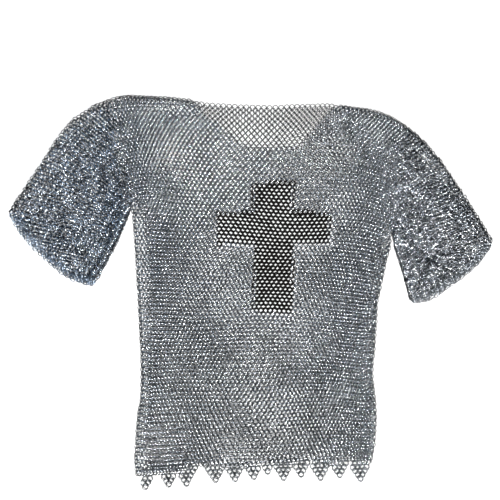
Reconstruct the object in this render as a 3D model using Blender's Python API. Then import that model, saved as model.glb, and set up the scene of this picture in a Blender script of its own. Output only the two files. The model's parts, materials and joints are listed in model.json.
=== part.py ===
"""Haubergeon: a short-sleeved mail shirt laid flat on its back, built from its woven panels.

The shirt lies on the plane z = 0, neck towards +Y, wearer's front towards +Z. A back layer lies on
the floor, a front layer lies over it, and round folds join the two along the sides, the shoulders
and the sleeves. The neck, the cuffs and the hem are open. Left and right are the wearer's, so the
left side lies towards +X. All lengths are in metres.
"""

import math
from dataclasses import dataclass, field

import bmesh
import bpy
from mathutils import Vector

# Overall sizes of the shirt laid flat
CHEST_WIDTH = 0.587  # armpit to armpit
BODY_LENGTH = 0.889  # shoulder line to the lowest hem point
SLEEVE_LENGTH = 0.277  # middle of the armhole to the middle of the cuff
SLEEVE_WIDTH = 0.260  # across the open cuff
ARMHOLE_LEAN = 0.0293  # how far the top of each armhole lies outside the armpit

# Neck
NECK_WIDTH = 0.317
NECK_DROP = 0.093  # neck corners down to the lowest point of the front neckline
NECK_PANEL_DEPTH = 0.112  # open-woven panel at the back of the neck

# Cross woven into the chest
CROSS_HEIGHT = 0.295
CROSS_SPAN = 0.252
CROSS_UPRIGHT_WIDTH = 0.086
CROSS_BAR_HEIGHT = 0.071
CROSS_BAR_DROP = 0.066  # top of the upright down to the top of the bar
NECK_TO_CROSS = 0.079  # lowest point of the front neckline down to the cross

# Edges
CUFF_BAND_WIDTH = 0.016
CUFF_SCALLOP_PITCH = 0.0146
CUFF_SCALLOP_DEPTH = 0.0042
HEM_POINT_DEPTH = 0.032
HEM_POINT_TIP_WIDTH = 0.010

# Layers of mail
SHEET_THICKNESS = 0.0065
LAYER_GAP = 0.005
PANEL_CLEARANCE = 0.0003  # between panels that meet along a woven seam

# Rows of rings that stand out on the front
ROW_SPACING = 0.0086
ROW_RELIEF = 0.0027  # crest of a row down to the valley beside it
ROW_CUT_TOLERANCE = 0.00005

# Open weave of the back neck panel
NET_HOLE_PITCH_ACROSS = 0.0228
NET_HOLE_PITCH_DOWN = 0.0162
NET_STRAND_WIDTH = 0.0046

# Height of each turning line over the front layer, so that a folded part clears it
FOLD_LINE_LIFT = 0.0015

# How far each sleeve hangs below the level of the shoulders
SLEEVE_DROOP_DEGREES = {"right": 53.1, "left": 60.4}

# Places on the body: across as a share of half the chest width, down as a share of the body length
ARMHOLE_TOP_DOWN_SHARES = {"right": 0.003, "left": 0.076}
ARMPIT_DOWN_SHARES = {"right": 0.284, "left": 0.344}
SHOULDER_SHARES = {
    "right": [(-1.023, 0.000), (-0.701, 0.005)],
    "left": [(0.985, 0.053), (0.862, 0.038), (0.755, 0.032)],
}
NECK_CENTRE_SHARE = 0.038
NECK_CORNER_DOWN_SHARES = {"right": 0.013, "left": 0.024}
CROSS_CENTRE_SHARE = 0.090
SIDE_SHARES = {
    "right": [
        (-0.985, 0.327), (-0.969, 0.403), (-0.946, 0.539), (-0.923, 0.701), (-0.931, 0.772),
        (-0.954, 0.813), (-0.977, 0.924), (-0.966, 0.965),
    ],
    "left": [
        (0.992, 0.387), (0.962, 0.418), (0.931, 0.468), (0.893, 0.524), (0.877, 0.620), (0.854, 0.706),
        (0.877, 0.772), (0.885, 0.813), (0.877, 0.873), (0.847, 0.934),
    ],
}
SKIRT_FOLD_DOWN_SHARE = 0.785

# Front neckline: across as a share of the neck width, down as a share of the neck drop
NECKLINE_SHARES = [
    (0.146, 0.42), (0.246, 0.70), (0.300, 0.93), (0.410, 0.97), (0.510, 1.00), (0.616, 0.99),
    (0.730, 0.91), (0.816, 0.54), (0.930, 0.17),
]

# Hem: along as a share of the hem width, depth as a share of the hem point depth
HEM_VALLEY_SHARES = [
    (0.079, -0.04), (0.173, 0.16), (0.275, 0.64), (0.374, 0.41), (0.454, 0.41), (0.530, 0.27),
    (0.593, 0.21), (0.677, 0.28), (0.744, 0.58), (0.842, -0.02), (0.919, 0.35),
]
HEM_TIP_SHARES = [
    (0.026, 1.00), (0.128, 0.93), (0.205, 0.93), (0.333, 0.79), (0.418, 0.79), (0.500, 0.72),
    (0.561, 0.40), (0.632, 0.89), (0.708, 0.73), (0.793, 1.02), (0.877, 0.92), (0.968, 1.25),
]

# Sleeve outlines from the armpit: along as a share of the sleeve length, up as a share of its width
SLEEVE_TOP_SHARES = {
    "right": [
        (-0.488, 0.792), (-0.249, 0.872), (-0.064, 0.875), (0.165, 0.854), (0.399, 0.840), (0.637, 0.833),
    ],
    "left": [(-0.514, 0.629), (-0.264, 0.677), (0.027, 0.700), (0.257, 0.710), (0.498, 0.724)],
}
SLEEVE_UNDER_SHARES = {
    "right": [(0.140, -0.046), (0.296, -0.085), (0.510, -0.126), (0.707, -0.165)],
    "left": [(0.132, -0.051), (0.334, -0.093), (0.527, -0.150), (0.599, -0.174)],
}
CUFF_EDGE_SHARES = {
    "right": [(0.725, 0.611), (0.759, 0.313), (0.772, 0.081)],
    "left": [(0.588, 0.490), (0.629, 0.146), (0.642, -0.033)],
}

# Share of a scallop's pitch at which its round edge reaches full depth
SCALLOP_SHOULDER_SHARE = 0.30

FOLD_SECTION_STEPS = 8

SIDES = {"right": -1, "left": 1}

STEEL = (0.31, 0.34, 0.37)
SHADED_STEEL = (0.24, 0.27, 0.30)
OPEN_STEEL = (0.40, 0.42, 0.43)
BLACKENED = (0.025, 0.025, 0.024)

# Heights of the two layers, and the radius of the folds that join them
BACK_LOW = 0.0
BACK_HIGH = SHEET_THICKNESS
FRONT_LOW = BACK_HIGH + LAYER_GAP
FRONT_HIGH = FRONT_LOW + SHEET_THICKNESS
FOLD_RADIUS = FRONT_HIGH / 2
TURN_HEIGHT = FRONT_HIGH + FOLD_LINE_LIFT
LAYERS = {"front": (FRONT_LOW, FRONT_HIGH), "back": (BACK_LOW, BACK_HIGH)}


@dataclass
class Panel:
    """A flat woven panel: an outline seen from above and the heights of its two faces.

    A panel of the front shows its rows of rings, which follow each other along row_way.
    """

    name: str
    body: str
    outline: list
    low: float
    high: float
    colour: tuple
    open_weave: bool = False
    row_way: Vector = field(default_factory=lambda: Vector((0, 1)))

    @property
    def shows_rows(self):
        """Tell whether the rows of rings stand out on the panel."""
        return self.high == FRONT_HIGH


@dataclass
class Fold:
    """A round fold that joins front and back: the seam line inside it and its outer edge."""

    name: str
    body: str
    seam: list
    edge: list
    colour: tuple


def body_point(shares):
    """Place a point of the body given by its shares."""
    across, down = shares
    return Vector((across * CHEST_WIDTH / 2, -down * BODY_LENGTH))


def quarter_turn(direction):
    """Turn a flat direction by a quarter turn, anticlockwise as seen from above."""
    return Vector((-direction.y, direction.x))


def crossing(line, level):
    """Find the point where a line of points crosses a level, with y falling along the line."""
    for start, end in zip(line, line[1:]):
        if start.y >= level >= end.y:
            return start.lerp(end, (start.y - level) / (start.y - end.y))
    return line[0].copy() if level > line[0].y else line[-1].copy()


def stretch(line, upper, lower):
    """Cut the stretch of a falling line of points that lies between two levels."""
    inside = [point for point in line if upper > point.y > lower]
    return [crossing(line, upper)] + inside + [crossing(line, lower)]


def before_end(line, distance):
    """Split a line of points at a distance before its end, and return the first part."""
    remaining = distance
    for index in range(len(line) - 1, 0, -1):
        step = (line[index] - line[index - 1]).length
        if step > remaining:
            return line[:index] + [line[index].lerp(line[index - 1], remaining / step)]
        remaining -= step
    return line[:1]


def beside(line, distance, first, last):
    """Offset the inner points of a line by a quarter turn from its way, between two given ends."""
    result = [first]
    for before, point, after in zip(line, line[1:], line[2:]):
        normal = quarter_turn((after - before).normalized())
        result.append(point + normal * distance)
    return result + [last]


def inset(outline, distance):
    """Move every side of an outline that runs anticlockwise inwards by the same distance."""
    result = []
    for index, point in enumerate(outline):
        into = (point - outline[index - 1]).normalized()
        out = (outline[(index + 1) % len(outline)] - point).normalized()
        normal_in = quarter_turn(into)
        normal_out = quarter_turn(out)
        result.append(point + (normal_in + normal_out) * distance / (1 + normal_in.dot(normal_out)))
    return result


def anticlockwise(outline):
    """Return the outline in anticlockwise order."""
    area = sum(point.cross(outline[(index + 1) % len(outline)]) for index, point in enumerate(outline))
    return outline if area > 0 else outline[::-1]


def neck_corner(side):
    """Find the corner where the shoulder fold ends at the neck, on the outer edge."""
    across = NECK_CENTRE_SHARE * CHEST_WIDTH / 2 + SIDES[side] * NECK_WIDTH / 2
    return Vector((across, -NECK_CORNER_DOWN_SHARES[side] * BODY_LENGTH))


def below(point, distance):
    """Move a point straight down the shirt."""
    return point - Vector((0, distance))


def neckline():
    """Lay out the front neckline from the right neck corner to the left one."""
    right = below(neck_corner("right"), FOLD_RADIUS)
    left = below(neck_corner("left"), FOLD_RADIUS)
    inner = [below(right.lerp(left, along), drop * NECK_DROP) for along, drop in NECKLINE_SHARES]
    return [right] + inner + [left]


def split_at_lowest(line):
    """Split a line at its lowest point, which both parts keep."""
    index = line.index(min(line, key=lambda point: point.y))
    return line[: index + 1], line[index:]


def levels():
    """Return the heights, along Y, of the three seams that run across the body."""
    lowest = min(point.y for point in neckline())
    chest = lowest - NECK_TO_CROSS
    return chest, chest - CROSS_HEIGHT, -SKIRT_FOLD_DOWN_SHARE * BODY_LENGTH


def armhole(side):
    """Return the line on which a sleeve turns, from the top of the armhole to the armpit."""
    top = body_point((SIDES[side], ARMHOLE_TOP_DOWN_SHARES[side]))
    lean = Vector((SIDES[side] * ARMHOLE_LEAN, 0))
    return top + lean, body_point((SIDES[side], ARMPIT_DOWN_SHARES[side]))


def side_edge(side):
    """Return the outer edge of the body from the armpit down to the hem."""
    return [armhole(side)[1]] + [body_point(shares) for shares in SIDE_SHARES[side]]


def side_seam(side):
    """Return the seam inside the side fold, from the armpit down to the hem."""
    inward = Vector((-SIDES[side] * FOLD_RADIUS, 0))
    return [point + inward for point in side_edge(side)]


def shoulder_edge(side):
    """Return the outer edge of the shoulder from the armhole to the neck corner."""
    middle = [body_point(shares) for shares in SHOULDER_SHARES[side]]
    return [armhole(side)[0]] + middle + [neck_corner(side)]


def shoulder_seam(side):
    """Return the seam inside the shoulder fold, from the armhole to the neck corner."""
    top, armpit = armhole(side)
    first = top + (armpit - top).normalized() * FOLD_RADIUS
    return [first] + [below(point, FOLD_RADIUS) for point in shoulder_edge(side)[1:]]


def cross_outline(chest):
    """Return the twelve corners of the cross, whose top lies on the chest seam."""
    centre = CROSS_CENTRE_SHARE * CHEST_WIDTH / 2
    half_upright = CROSS_UPRIGHT_WIDTH / 2
    half_span = CROSS_SPAN / 2
    bar_top = chest - CROSS_BAR_DROP
    bar_low = bar_top - CROSS_BAR_HEIGHT
    foot = chest - CROSS_HEIGHT
    right = [
        (-half_upright, chest), (-half_upright, bar_top), (-half_span, bar_top),
        (-half_span, bar_low), (-half_upright, bar_low), (-half_upright, foot),
    ]
    left = [(-across, level) for across, level in reversed(right)]
    return [Vector((centre + across, level)) for across, level in right + left]


def body_panels():
    """Lay out the panels of the body: yokes, neck panel, chest, cross and belly, front and back."""
    chest, waist, skirt = levels()
    panels = []
    neck_right, neck_left = split_at_lowest(neckline())
    neck_middle = neck_right[-1].x
    cross = cross_outline(chest)
    panel_foot = {side: below(neck_corner(side), NECK_PANEL_DEPTH) for side in SIDES}
    panel_middle = panel_foot["right"].lerp(
        panel_foot["left"],
        (neck_middle - panel_foot["right"].x) / (panel_foot["left"].x - panel_foot["right"].x),
    )
    for side in SIDES:
        turn_line = list(armhole(side))
        seam = shoulder_seam(side)
        chest_on_armhole = crossing(turn_line, chest)
        front_neck = neck_right if side == "right" else neck_left[::-1]
        foot = [Vector((neck_middle, chest)), chest_on_armhole]
        front = seam + front_neck[1:] + foot
        back = seam + [panel_foot[side], panel_middle] + foot
        panels.append(Panel(f"front_yoke_{side}", "torso", front, *LAYERS["front"], STEEL))
        panels.append(Panel(f"back_yoke_{side}", "torso", back, *LAYERS["back"], SHADED_STEEL))
        cross_side = cross[:6] if side == "right" else cross[:5:-1]
        flank = [chest_on_armhole, turn_line[1]] + stretch(side_seam(side), side_seam(side)[0].y, waist)
        panels.append(
            Panel(f"front_chest_{side}", "torso", flank + cross_side[::-1], *LAYERS["front"], STEEL)
        )
    neck = [neck_corner("right"), panel_foot["right"], panel_foot["left"], neck_corner("left")]
    panels.append(Panel("back_neck_panel", "torso", neck, *LAYERS["back"], OPEN_STEEL, open_weave=True))
    panels.append(Panel("cross_inlay", "torso", cross, *LAYERS["front"], BLACKENED))
    right, left = side_seam("right"), side_seam("left")
    top_right, armpit_right = armhole("right")
    top_left, armpit_left = armhole("left")
    back_chest = [crossing([top_right, armpit_right], chest), armpit_right]
    back_chest += stretch(right, right[0].y, waist)
    back_chest += stretch(left, left[0].y, waist)[::-1]
    back_chest += [armpit_left, crossing([top_left, armpit_left], chest)]
    panels.append(Panel("back_chest", "torso", back_chest, *LAYERS["back"], SHADED_STEEL))
    belly = stretch(right, waist, skirt) + stretch(left, waist, skirt)[::-1]
    panels.append(Panel("front_belly", "torso", belly, *LAYERS["front"], STEEL))
    panels.append(Panel("back_belly", "torso", belly, *LAYERS["back"], SHADED_STEEL))
    return panels


def hem_line():
    """Return the two ends of the straight line that the hem valleys follow."""
    return side_seam("right")[-1], side_seam("left")[-1]


def skirt_panels():
    """Lay out the skirt below the waist fold and the row of hem points on each layer."""
    skirt = levels()[2]
    start, end = hem_line()
    valleys = [start]
    valleys += [start.lerp(end, along) + Vector((0, rise * HEM_POINT_DEPTH)) for along, rise in HEM_VALLEY_SHARES]
    valleys += [end]
    outline = stretch(side_seam("right"), skirt, start.y)
    outline += valleys[1:-1]
    outline += stretch(side_seam("left"), skirt, end.y)[::-1]
    panels = []
    half_tip = Vector((HEM_POINT_TIP_WIDTH / 2, 0))
    for layer, heights in LAYERS.items():
        colour = STEEL if layer == "front" else SHADED_STEEL
        panels.append(Panel(f"{layer}_skirt", "skirt", outline, *heights, colour))
        for number, (along, depth) in enumerate(HEM_TIP_SHARES):
            tip = below(start.lerp(end, along), depth * HEM_POINT_DEPTH)
            point = [valleys[number], tip - half_tip, tip + half_tip, valleys[number + 1]]
            name = f"{layer}_hem_point_{number + 1:02d}"
            panels.append(Panel(name, "skirt", point, *heights, colour))
    return panels


def body_folds():
    """Lay out the round folds of the shoulders, the sides and the sides of the skirt."""
    skirt = levels()[2]
    folds = []
    for side in SIDES:
        edge, seam = side_edge(side), side_seam(side)
        folds.append(
            Fold(f"{side}_shoulder_fold", "torso", shoulder_seam(side), shoulder_edge(side), SHADED_STEEL)
        )
        upper_seam, upper_edge = stretch(seam, seam[0].y, skirt), stretch(edge, edge[0].y, skirt)
        lower_seam, lower_edge = stretch(seam, skirt, seam[-1].y), stretch(edge, skirt, edge[-1].y)
        folds.append(Fold(f"{side}_side_fold", "torso", upper_seam, upper_edge, SHADED_STEEL))
        folds.append(Fold(f"{side}_skirt_fold", "skirt", lower_seam, lower_edge, SHADED_STEEL))
    return folds


def sleeve_point(side, shares):
    """Place a point of a sleeve, whose frame starts at the armpit."""
    droop = math.radians(SLEEVE_DROOP_DEGREES[side])
    along = Vector((SIDES[side] * math.cos(droop), -math.sin(droop)))
    up = Vector((SIDES[side] * math.sin(droop), math.cos(droop)))
    return armhole(side)[1] + along * shares[0] * SLEEVE_LENGTH + up * shares[1] * SLEEVE_WIDTH


def scalloped(line):
    """Turn a line of points into a row of round scallops that stand out clockwise of its way."""
    result = []
    for start, end in zip(line, line[1:]):
        length = (end - start).length
        count = max(1, round(length / CUFF_SCALLOP_PITCH))
        outward = -quarter_turn((end - start).normalized()) * CUFF_SCALLOP_DEPTH
        for number in range(count):
            result.append(start.lerp(end, number / count))
            for share in (SCALLOP_SHOULDER_SHARE, 1 - SCALLOP_SHOULDER_SHARE):
                result.append(start.lerp(end, (number + share) / count) + outward)
    return result + [line[-1]]


def sleeve_pieces(side):
    """Lay out a sleeve: its front and back panels, two folds and the front and back cuff bands."""
    body = f"{side}_sleeve"
    top, armpit = armhole(side)
    turn = (top - armpit).normalized()
    top_edge = [top] + [sleeve_point(side, shares) for shares in SLEEVE_TOP_SHARES[side]]
    under_edge = [armpit] + [sleeve_point(side, shares) for shares in SLEEVE_UNDER_SHARES[side]]
    across_cuff = (under_edge[-1] - top_edge[-1]).normalized()
    under_way = (under_edge[1] - under_edge[0]).normalized()
    under_start = armpit + turn * (FOLD_RADIUS / abs(turn.cross(under_way)))
    inward = -SIDES[side] * FOLD_RADIUS
    top_seam = beside(top_edge, inward, top - turn * FOLD_RADIUS, top_edge[-1] + across_cuff * FOLD_RADIUS)
    under_seam = beside(under_edge, -inward, under_start, under_edge[-1] - across_cuff * FOLD_RADIUS)
    top_part = before_end(top_seam, CUFF_BAND_WIDTH)
    under_part = before_end(under_seam, CUFF_BAND_WIDTH)
    cuff_edge = [sleeve_point(side, shares) for shares in CUFF_EDGE_SHARES[side]]
    back_from_cuff = (sleeve_point(side, (0, 0)) - sleeve_point(side, (1, 0))).normalized() * CUFF_BAND_WIDTH
    cuff_seam = [point + back_from_cuff for point in cuff_edge]
    tube = top_part + cuff_seam + under_part[::-1]
    cuff_line = [top_seam[-1]] + cuff_edge + [under_seam[-1]]
    if side == "right":
        rim = scalloped(cuff_line)
    else:
        rim = scalloped(cuff_line[::-1])[::-1]
    band = [top_part[-1]] + rim + [under_part[-1]] + cuff_seam[::-1]
    pieces = []
    row_way = (sleeve_point(side, (0, 1)) - sleeve_point(side, (0, 0))).normalized()
    for layer, heights in LAYERS.items():
        colour = STEEL if layer == "front" else SHADED_STEEL
        for part, outline in (("sleeve", tube), ("cuff", band)):
            pieces.append(Panel(f"{side}_{part}_{layer}", body, outline, *heights, colour, row_way=row_way))
    pieces.append(Fold(f"{side}_sleeve_top_fold", body, top_seam, top_edge, SHADED_STEEL))
    pieces.append(Fold(f"{side}_sleeve_under_fold", body, under_seam, under_edge, SHADED_STEEL))
    return pieces


def fitted(piece):
    """Draw a piece back from its neighbours by half of the clearance between panels."""
    half_gap = PANEL_CLEARANCE / 2
    if isinstance(piece, Panel):
        piece.outline = inset(anticlockwise(piece.outline), half_gap)
        return piece
    outline = piece.seam + piece.edge[::-1]
    turned_round = anticlockwise(outline) is not outline
    outline = inset(outline[::-1] if turned_round else outline, half_gap)
    outline = outline[::-1] if turned_round else outline
    count = len(piece.seam)
    piece.seam, piece.edge = outline[:count], outline[count:][::-1]
    return piece


def plan_points(piece):
    """Return every point of a piece as seen from above."""
    return piece.outline if isinstance(piece, Panel) else piece.seam + piece.edge


def finish_mesh(mesh_builder, name):
    """Turn a finished bmesh into a mesh with its faces pointing out."""
    bmesh.ops.recalc_face_normals(mesh_builder, faces=mesh_builder.faces)
    mesh = bpy.data.meshes.new(name)
    mesh_builder.to_mesh(mesh)
    mesh_builder.free()
    return mesh


def thicken(mesh_builder, thickness):
    """Give a flat sheet of faces its thickness, straight up, and return its upper points."""
    grown = bmesh.ops.extrude_face_region(mesh_builder, geom=mesh_builder.faces[:], use_keep_orig=True)
    upper = [item for item in grown["geom"] if isinstance(item, bmesh.types.BMVert)]
    bmesh.ops.translate(mesh_builder, verts=upper, vec=(0, 0, thickness))
    return upper


def cut_rows(mesh_builder, row_way):
    """Cut a flat sheet along the crest and the valley of every row of rings."""
    half_row = ROW_SPACING / 2
    reach = [vert.co.xy.dot(row_way) for vert in mesh_builder.verts]
    for number in range(math.ceil(min(reach) / half_row), math.ceil(max(reach) / half_row)):
        bmesh.ops.bisect_plane(
            mesh_builder,
            geom=mesh_builder.verts[:] + mesh_builder.edges[:] + mesh_builder.faces[:],
            dist=ROW_CUT_TOLERANCE,
            plane_co=(*(row_way * number * half_row), 0),
            plane_no=(*row_way, 0),
        )


def below_crest(across_rows):
    """Return how far the face lies below the rows' crests at a place measured across the rows."""
    share_of_row = (across_rows / ROW_SPACING) % 1
    return abs(1 - 2 * share_of_row) * ROW_RELIEF


def panel_mesh(panel, shift):
    """Build the solid of a closed panel, with its rows of rings where it shows them."""
    mesh_builder = bmesh.new()
    corners = [mesh_builder.verts.new((*(point - shift), panel.low)) for point in panel.outline]
    mesh_builder.faces.new(corners)
    if panel.shows_rows:
        cut_rows(mesh_builder, panel.row_way)
    lower_faces = mesh_builder.faces[:]
    upper = thicken(mesh_builder, panel.high - panel.low)
    if panel.shows_rows:
        for vert in upper:
            vert.co.z -= below_crest(vert.co.xy.dot(panel.row_way))
        bmesh.ops.dissolve_faces(mesh_builder, faces=lower_faces)
    return finish_mesh(mesh_builder, panel.name)


def net_mesh(panel, shift):
    """Build the solid of the four-cornered neck panel as a net with a diamond hole in each mesh."""
    corners = [point - shift for point in panel.outline]
    first = min(range(4), key=lambda index: corners[index].x - corners[index].y)
    top_right, low_right, low_left, top_left = (corners[(first + step) % 4] for step in range(4))
    columns = 2 * round((top_left - top_right).length / NET_HOLE_PITCH_ACROSS)
    rows = 2 * round((top_right - low_right).length / NET_HOLE_PITCH_DOWN)
    mesh_builder = bmesh.new()
    knots = {}
    for column in range(columns + 1):
        for row in range(rows + 1):
            if (column + row) % 2 == 0:
                upper = top_right.lerp(top_left, column / columns)
                lower = low_right.lerp(low_left, column / columns)
                place = upper.lerp(lower, row / rows)
                knots[column, row] = mesh_builder.verts.new((*place, panel.low))
    holes = []
    for column in range(columns + 1):
        for row in range(rows + 1):
            if (column + row) % 2 == 0:
                continue
            around = [(column - 1, row), (column, row + 1), (column + 1, row), (column, row - 1)]
            diamond = [knots[place] for place in around if place in knots]
            face = mesh_builder.faces.new(diamond)
            if len(diamond) == 4:
                holes.append(face)
    mesh_builder.normal_update()
    bmesh.ops.inset_individual(
        mesh_builder, faces=holes, thickness=NET_STRAND_WIDTH / 2, use_even_offset=True
    )
    bmesh.ops.delete(mesh_builder, geom=holes, context="FACES")
    thicken(mesh_builder, panel.high - panel.low)
    return finish_mesh(mesh_builder, panel.name)


def fold_mesh(fold, shift):
    """Build a fold as a half-round bar between its seam line and its outer edge."""
    mesh_builder = bmesh.new()
    rings = []
    for seam, edge in zip(fold.seam, fold.edge):
        ring = []
        for step in range(FOLD_SECTION_STEPS + 1):
            angle = math.pi * (step / FOLD_SECTION_STEPS - 1 / 2)
            place = seam.lerp(edge, math.cos(angle)) - shift
            if step in (0, FOLD_SECTION_STEPS):
                place = seam - shift
            ring.append(mesh_builder.verts.new((*place, FOLD_RADIUS * (1 + math.sin(angle)))))
        rings.append(ring)
    for ring, following in zip(rings, rings[1:]):
        for step in range(len(ring)):
            other = (step + 1) % len(ring)
            mesh_builder.faces.new((ring[step], ring[other], following[other], following[step]))
    mesh_builder.faces.new(rings[0])
    mesh_builder.faces.new(rings[-1][::-1])
    return finish_mesh(mesh_builder, fold.name)


def steel_material(name, colour):
    """Make the material of one piece."""
    material = bpy.data.materials.new(name)
    material.use_nodes = True
    shader = material.node_tree.nodes["Principled BSDF"]
    shader.inputs["Base Color"].default_value = (*colour, 1)
    shader.inputs["Metallic"].default_value = 1
    shader.inputs["Roughness"].default_value = 0.42
    return material


def turning_lines(shift):
    """Return where each moving part turns: its place on the shirt and the direction of its line."""
    lines = {}
    for side in SIDES:
        top, armpit = armhole(side)
        lines[f"{side}_sleeve"] = (armpit - shift, (top - armpit).normalized())
    skirt = levels()[2]
    lines["skirt"] = (Vector((0, skirt - shift.y)), Vector((1, 0)))
    return lines


def add_object(name, mesh, colour, parent):
    """Put a mesh into the scene under its name, carried by its parent."""
    mesh.materials.append(steel_material(name, colour))
    made = bpy.data.objects.new(name, mesh)
    bpy.context.collection.objects.link(made)
    if parent:
        made.parent = parent
        made.matrix_parent_inverse = parent.matrix_world.inverted()
    return made


def build():
    """Build every piece of the shirt around its middle."""
    for existing in list(bpy.data.objects):
        bpy.data.objects.remove(existing, do_unlink=True)
    pieces = body_panels() + skirt_panels() + body_folds() + sleeve_pieces("right") + sleeve_pieces("left")
    pieces = [fitted(piece) for piece in pieces]
    points = [point for piece in pieces for point in plan_points(piece)]
    lowest = Vector((min(point.x for point in points), min(point.y for point in points)))
    highest = Vector((max(point.x for point in points), max(point.y for point in points)))
    shift = (lowest + highest) / 2
    carriers = {}
    for body, (place, direction) in turning_lines(shift).items():
        carrier = bpy.data.objects.new(f"{body}_turning_line", None)
        carrier.location = (*place, TURN_HEIGHT)
        carrier.rotation_euler = (0, 0, math.atan2(direction.y, direction.x))
        bpy.context.collection.objects.link(carrier)
        carriers[body] = carrier
    bpy.context.view_layer.update()
    for piece in pieces:
        if isinstance(piece, Fold):
            mesh = fold_mesh(piece, shift)
            mesh.shade_smooth()
            mesh.set_sharp_from_angle(angle=math.radians(40))
        elif piece.open_weave:
            mesh = net_mesh(piece, shift)
        else:
            mesh = panel_mesh(piece, shift)
        add_object(piece.name, mesh, piece.colour, carriers.get(piece.body))


build()
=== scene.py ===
"""Looks of a haubergeon: a shirt of steel rings, laid flat on its back on a white ground.

Every ring is a real ring of wire. The rings are woven four in one, row by row, over the front and
back of the shirt and round its folds, so the weave, the holes and the edges are all geometry.
Lengths are in metres and angles in degrees, unless a name says otherwise.
"""

import json
import logging
import math
from dataclasses import dataclass, field
from enum import Enum
from functools import cache

import bpy
import numpy as np
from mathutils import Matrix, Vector


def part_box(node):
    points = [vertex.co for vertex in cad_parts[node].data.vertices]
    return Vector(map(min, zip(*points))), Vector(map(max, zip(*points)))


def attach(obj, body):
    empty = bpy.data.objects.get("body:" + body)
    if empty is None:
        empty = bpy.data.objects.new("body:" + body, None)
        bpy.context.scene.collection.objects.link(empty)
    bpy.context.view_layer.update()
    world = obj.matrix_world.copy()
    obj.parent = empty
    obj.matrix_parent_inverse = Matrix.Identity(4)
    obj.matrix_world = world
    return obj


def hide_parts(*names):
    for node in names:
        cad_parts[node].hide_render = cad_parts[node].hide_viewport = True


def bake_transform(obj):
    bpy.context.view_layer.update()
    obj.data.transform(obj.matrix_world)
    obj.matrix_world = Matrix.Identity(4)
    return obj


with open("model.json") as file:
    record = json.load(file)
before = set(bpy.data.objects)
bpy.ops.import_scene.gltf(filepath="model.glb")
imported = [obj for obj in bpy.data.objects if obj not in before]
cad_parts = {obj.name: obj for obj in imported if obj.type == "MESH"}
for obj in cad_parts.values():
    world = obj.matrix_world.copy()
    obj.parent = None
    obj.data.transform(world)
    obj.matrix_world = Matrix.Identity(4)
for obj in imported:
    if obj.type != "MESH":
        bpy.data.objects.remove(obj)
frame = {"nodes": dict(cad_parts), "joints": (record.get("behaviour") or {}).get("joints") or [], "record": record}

LOG = logging.getLogger("haubergeon")
WELD = 1e-6
WELD_DIGITS = 6
RIDGE_PLAY = 1e-5
LEAST_CORNERS = 6
TINY = 1e-18
FINE_PARTS = 40
ACROSS_SAMPLES = 400
DOWN_SAMPLES = 100
MIDDLE_TONE = 0.5
MIX_COLOUR_INPUTS = (6, 7)
MIX_COLOUR_OUTPUT = 2
Array = np.ndarray
Colour = tuple[float, float, float]


class Named(Enum):
    """A choice whose options are also words in the nodes' names."""

    @property
    def word(self) -> str:
        """The option's name in lower case."""
        return self.name.lower()


class Layer(Named):
    """The two layers of the laid shirt, by the side that their outer face turns to."""

    FRONT = 1
    BACK = -1


class Side(Named):
    """The wearer's sides, by the sign of X."""

    RIGHT = -1
    LEFT = 1


class Seam(Enum):
    """The kinds of fold where the front turns over into the back.

    Each has the words for it in its nodes' names, the axis that its points follow, and the parts
    whose rings it turns: -1 and 1 are the sleeves and 0 is the body.
    """

    TOP = ("sleeve_top", 0, (-1, 0, 1))
    SHOULDER = ("shoulder", 0, (-1, 0, 1))
    SIDE = ("side", 1, (0,))
    SKIRT = ("skirt", 1, (0,))
    UNDER = ("sleeve_under", 1, (-1, 1))


@dataclass(frozen=True)
class Weave:
    """One kind of ring and how it lies in the weave."""

    ring_radius: float = 0.00625
    wire_radius: float = 0.00105
    pitch: float = 0.0102
    row_spacing: float = 0.0086
    lean: float = 25.0
    lean_per_crowding: float = 2.0
    loose_turn: float = 4.5
    loose_place: float = 0.0003
    ring_segments: int = 11
    wire_sides: int = 5


def corners_of(node: str) -> Array:
    """The corners of a CAD node's solid."""
    return np.array([v.co for v in frame["nodes"][node].data.vertices])


def unit(vectors: Array) -> Array:
    """Vectors of length 1 that point the same way."""
    return vectors / np.linalg.norm(vectors, axis=-1, keepdims=True)


def quarter_turn(vectors: Array) -> Array:
    """Vectors turned to the left by 90 degrees."""
    return np.stack([-vectors[..., 1], vectors[..., 0]], -1)


def plan_loop(node: str) -> Array:
    """Reads a flat panel's outline from its solid.

    Args:
        node: Name of a CAD node that is a flat panel.

    Returns:
        The corners of its lower face in order, as X and Y.
    """
    places = corners_of(node)
    bottom = places[:, 2].min()
    edges: dict[tuple, None] = {}
    for polygon in frame["nodes"][node].data.polygons:
        corners = [tuple(np.round(places[v] / WELD).astype(int)) for v in polygon.vertices]
        if max(c[2] for c in corners) * WELD <= bottom + 2 * WELD:
            edges.update(dict.fromkeys(zip(corners, corners[1:] + corners[:1])))
    after = {here: there for here, there in edges if (there, here) not in edges}
    first = next(iter(after))
    loop, here = [first], after[first]
    while here != first and len(loop) <= len(after):
        loop.append(here)
        here = after[here]
    return np.array(loop, float)[:, :2] * WELD


def along(line: Array, lengths: Array, count: int) -> Array:
    """Sets out even places along a line.

    Args:
        line: Points of the line.
        lengths: How long each of its steps counts.
        count: How many steps it is cut into.

    Returns:
        The count + 1 places, ends included.
    """
    passed = np.concatenate([[0.0], np.cumsum(lengths)])
    wanted = np.linspace(0, passed[-1], count + 1)
    return np.stack([np.interp(wanted, passed, line[:, k]) for k in (0, 1)], 1)


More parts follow.
